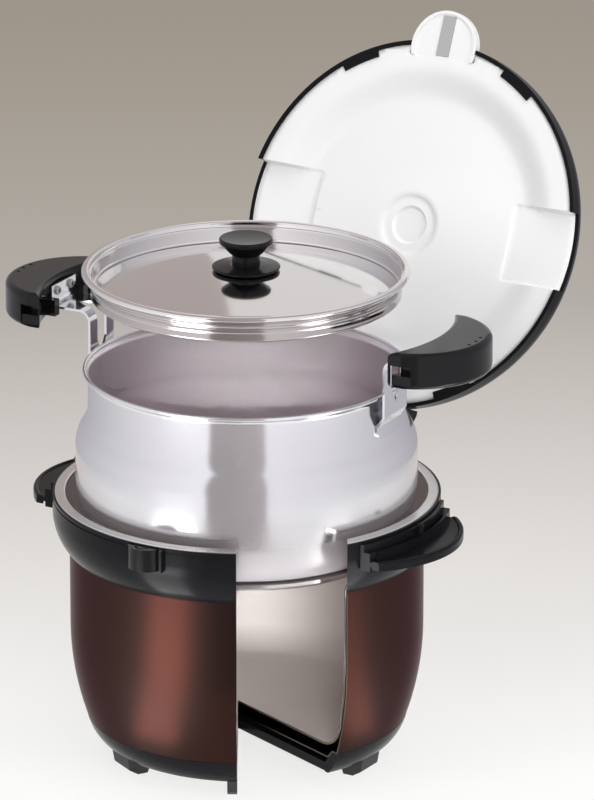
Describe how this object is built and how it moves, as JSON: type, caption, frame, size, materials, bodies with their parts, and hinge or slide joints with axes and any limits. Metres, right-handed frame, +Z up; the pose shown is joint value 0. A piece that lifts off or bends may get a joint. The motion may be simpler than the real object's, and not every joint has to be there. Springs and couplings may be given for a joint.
{
  "type": "thermal cooker",
  "caption": "Vacuum thermal cooker shown cut away: double-wall vessel, hinged insulated lid, lift-out steel pot with fork handles and lidded top.",
  "frame": {"origin": "on the vessel's axis at the level of the feet's undersides", "axes": "+Z up along the vessel's axis, +Y towards the lid hinge, +X through a wing handle"},
  "size_m": [0.2888, 0.3427, 0.3685],
  "materials": {
    "brown_paint": "satin metallic brown paint",
    "inner_steel": "polished stainless steel",
    "foil": "bright foil",
    "ring_steel": "satin stainless steel",
    "black_plastic": "glossy black moulding",
    "foot_rubber": "matt black",
    "screw_steel": "zinc plated",
    "white_plastic": "smooth white moulding",
    "foam": "rigid insulating foam",
    "grey_strip": "satin grey",
    "pot_steel": "satin stainless steel",
    "disc_steel": "satin stainless steel",
    "bracket_steel": "polished stainless steel",
    "lid_steel": "mirror polished stainless steel"
  },
  "bodies": {
    "vessel": {"outer_shell": "brown_paint", "inner_shell": "inner_steel", "radiation_foil": "foil", "seal_tip": "screw_steel", "mouth_ring": "ring_steel", "collar": "black_plastic", "latch_catch": "black_plastic", "wing_right": "black_plastic", "wing_left": "black_plastic", "wing_screws": "screw_steel", "base_cover": "black_plastic", "base_screws": "screw_steel", "foot_pads": "foot_rubber", "hinge_bracket": "black_plastic", "hinge_pin": "screw_steel"},
    "outer_lid": {"lid_shell": "black_plastic", "lid_liner": "white_plastic", "lid_foam": "foam", "latch_tab": "white_plastic", "latch_strip": "grey_strip", "lid_hinge_arm": "black_plastic", "lid_screws": "screw_steel"},
    "pot": {"pot_body": "pot_steel", "pot_base_disc": "disc_steel", "handle_bracket_right": "bracket_steel", "handle_bracket_left": "bracket_steel", "grip_right": "black_plastic", "grip_left": "black_plastic", "grip_screws": "screw_steel"},
    "pot_lid": {"pot_lid_pan": "lid_steel", "knob_base": "black_plastic", "knob": "black_plastic", "knob_screw": "screw_steel"}
  },
  "joints": [
    {"name": "lid_hinge", "type": "hinge", "parent": "vessel", "child": "outer_lid", "pos_m": [0, 0.12, 0.1485], "axis": [1, 0, 0], "range_deg": [0, 114]},
    {"name": "pot_lift", "type": "slide", "parent": "vessel", "child": "pot", "axis": [0, 0, 1], "range_m": [-0.0896, 0]},
    {"name": "pot_lid_lift", "type": "slide", "parent": "pot", "child": "pot_lid", "axis": [0, 0, 1], "range_m": [-0.0527, 0]}
  ],
  "couplings": [
    {"joint": "pot_lift", "follows": "lid_hinge", "m_per_rad": -0.04501},
    {"joint": "pot_lid_lift", "follows": "lid_hinge", "m_per_rad": -0.02646}
  ]
}
